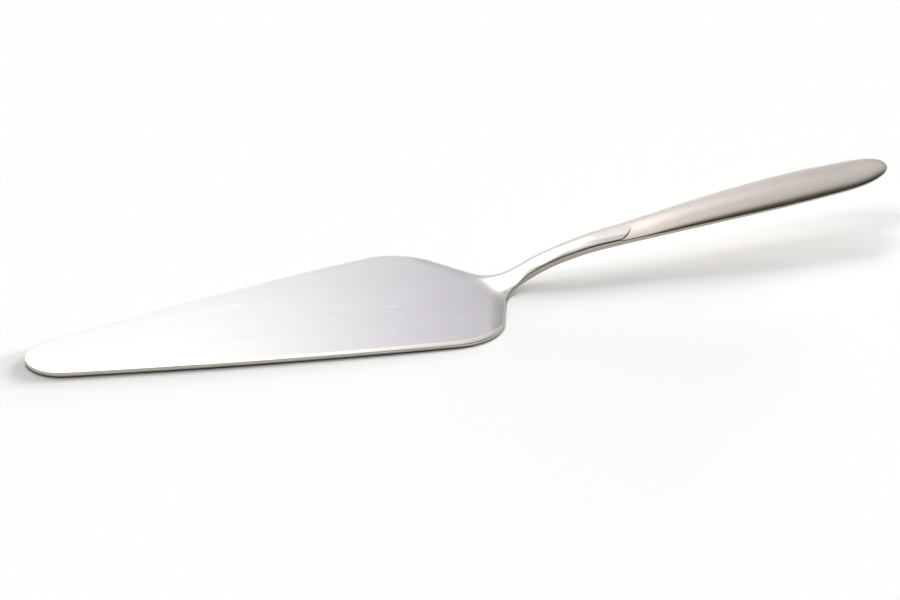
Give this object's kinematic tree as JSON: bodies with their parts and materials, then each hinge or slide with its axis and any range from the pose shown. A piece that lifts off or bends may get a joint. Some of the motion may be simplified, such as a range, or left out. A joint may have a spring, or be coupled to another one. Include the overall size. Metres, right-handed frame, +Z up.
{
  "type": "cake server",
  "caption": "Steel cake server: flat triangular blade with rounded corners, cranked crowned neck with a pointed end, and a slim leaf-shaped hollow handle.",
  "frame": {"origin": "on the flat underside of the blade, in its middle plane, three fifths of the way from the tip to the crease where the neck starts", "axes": "+X from the blade's tip to the end of the handle, +Y across the blade, +Z up from the table"},
  "size_m": [0.2717, 0.062, 0.0224],
  "materials": {
    "polished_blade_steel": "semi-bright stainless steel, faintly brushed along its length, with fine scratches",
    "satin_handle_steel": "satin stainless steel, slightly warm",
    "set_cement": "matt set cement, hidden inside the handle"
  },
  "bodies": {
    "root": {"blade_and_neck": "polished_blade_steel", "handle_upper_shell": "satin_handle_steel", "handle_lower_shell": "satin_handle_steel", "tang_cement": "set_cement"}
  },
  "joints": []
}
